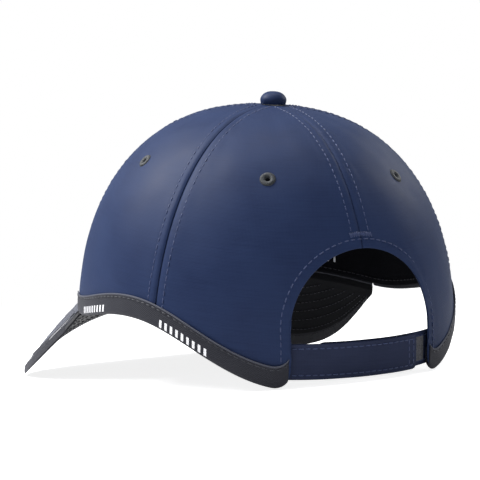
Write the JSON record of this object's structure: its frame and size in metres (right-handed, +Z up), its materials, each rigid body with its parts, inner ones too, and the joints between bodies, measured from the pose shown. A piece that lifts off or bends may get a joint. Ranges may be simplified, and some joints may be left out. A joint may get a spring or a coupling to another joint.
{
  "type": "peaked cap",
  "caption": "Six-panel peaked cap with a curved peak, worked eyelets, covered button, bound rim and an arched back opening closed by a hook-and-loop strap.",
  "frame": {"origin": "middle of the head opening, at the rim's mean level", "axes": "+Z up as the cap stands on a table on its peak and back corners, +Y towards the back, +X towards the wearer's left"},
  "size_m": [0.1818, 0.2753, 0.1302],
  "materials": {
    "cap_cloth": "fine woven navy polyester",
    "stiffener_mesh": "open stiffened mesh",
    "lining_tape": "folded woven tape",
    "eyelet_thread": "close embroidery thread",
    "sweatband_knit": "soft knit over foam",
    "binding_tape": "grosgrain tape",
    "button_metal": "pressed, plain",
    "board_plastic": "moulded sheet",
    "peak_cloth": "fine woven polyester",
    "badge_rubber": "matt moulded",
    "hook_pile": "fine nylon hooks",
    "loop_pile": "brushed nylon loops",
    "strap_webbing": "doubled woven cloth"
  },
  "bodies": {
    "crown": {"front_left_panel": "cap_cloth", "front_right_panel": "cap_cloth", "side_left_panel": "cap_cloth", "side_right_panel": "cap_cloth", "back_left_panel": "cap_cloth", "back_right_panel": "cap_cloth", "front_left_stiffener": "stiffener_mesh", "front_right_stiffener": "stiffener_mesh", "front_seam_tape": "lining_tape", "front_left_seam_tape": "lining_tape", "front_right_seam_tape": "lining_tape", "back_left_seam_tape": "lining_tape", "back_right_seam_tape": "lining_tape", "back_seam_tape": "lining_tape", "front_left_eyelet": "eyelet_thread", "front_right_eyelet": "eyelet_thread", "side_left_eyelet": "eyelet_thread", "side_right_eyelet": "eyelet_thread", "back_left_eyelet": "eyelet_thread", "back_right_eyelet": "eyelet_thread", "opening_facing": "lining_tape", "sweatband": "sweatband_knit", "rim_binding_left": "binding_tape", "rim_binding_right": "binding_tape", "button_cover": "cap_cloth", "button_cup": "button_metal", "button_backplate": "button_metal", "peak_board": "board_plastic", "peak_top_cover": "peak_cloth", "peak_under_cover": "peak_cloth", "peak_edge_binding": "binding_tape", "side_badge": "badge_rubber", "outer_strap_tab": "strap_webbing", "inner_strap_tab": "strap_webbing"},
    "outer_strap": {"outer_strap": "strap_webbing", "hook_patch": "hook_pile"},
    "inner_strap": {"inner_strap": "strap_webbing", "loop_patch": "loop_pile"}
  },
  "joints": [
    {"name": "outer_strap_peel", "type": "hinge", "parent": "crown", "child": "outer_strap", "pos_m": [0.0281, 0.08756, -0.01339], "axis": [0, -0.1604, -0.987], "range_deg": [0, 90]},
    {"name": "inner_strap_swing", "type": "hinge", "parent": "crown", "child": "inner_strap", "pos_m": [-0.0281, 0.08701, -0.0133], "axis": [0, -0.1604, -0.987], "range_deg": [0, 60]}
  ]
}
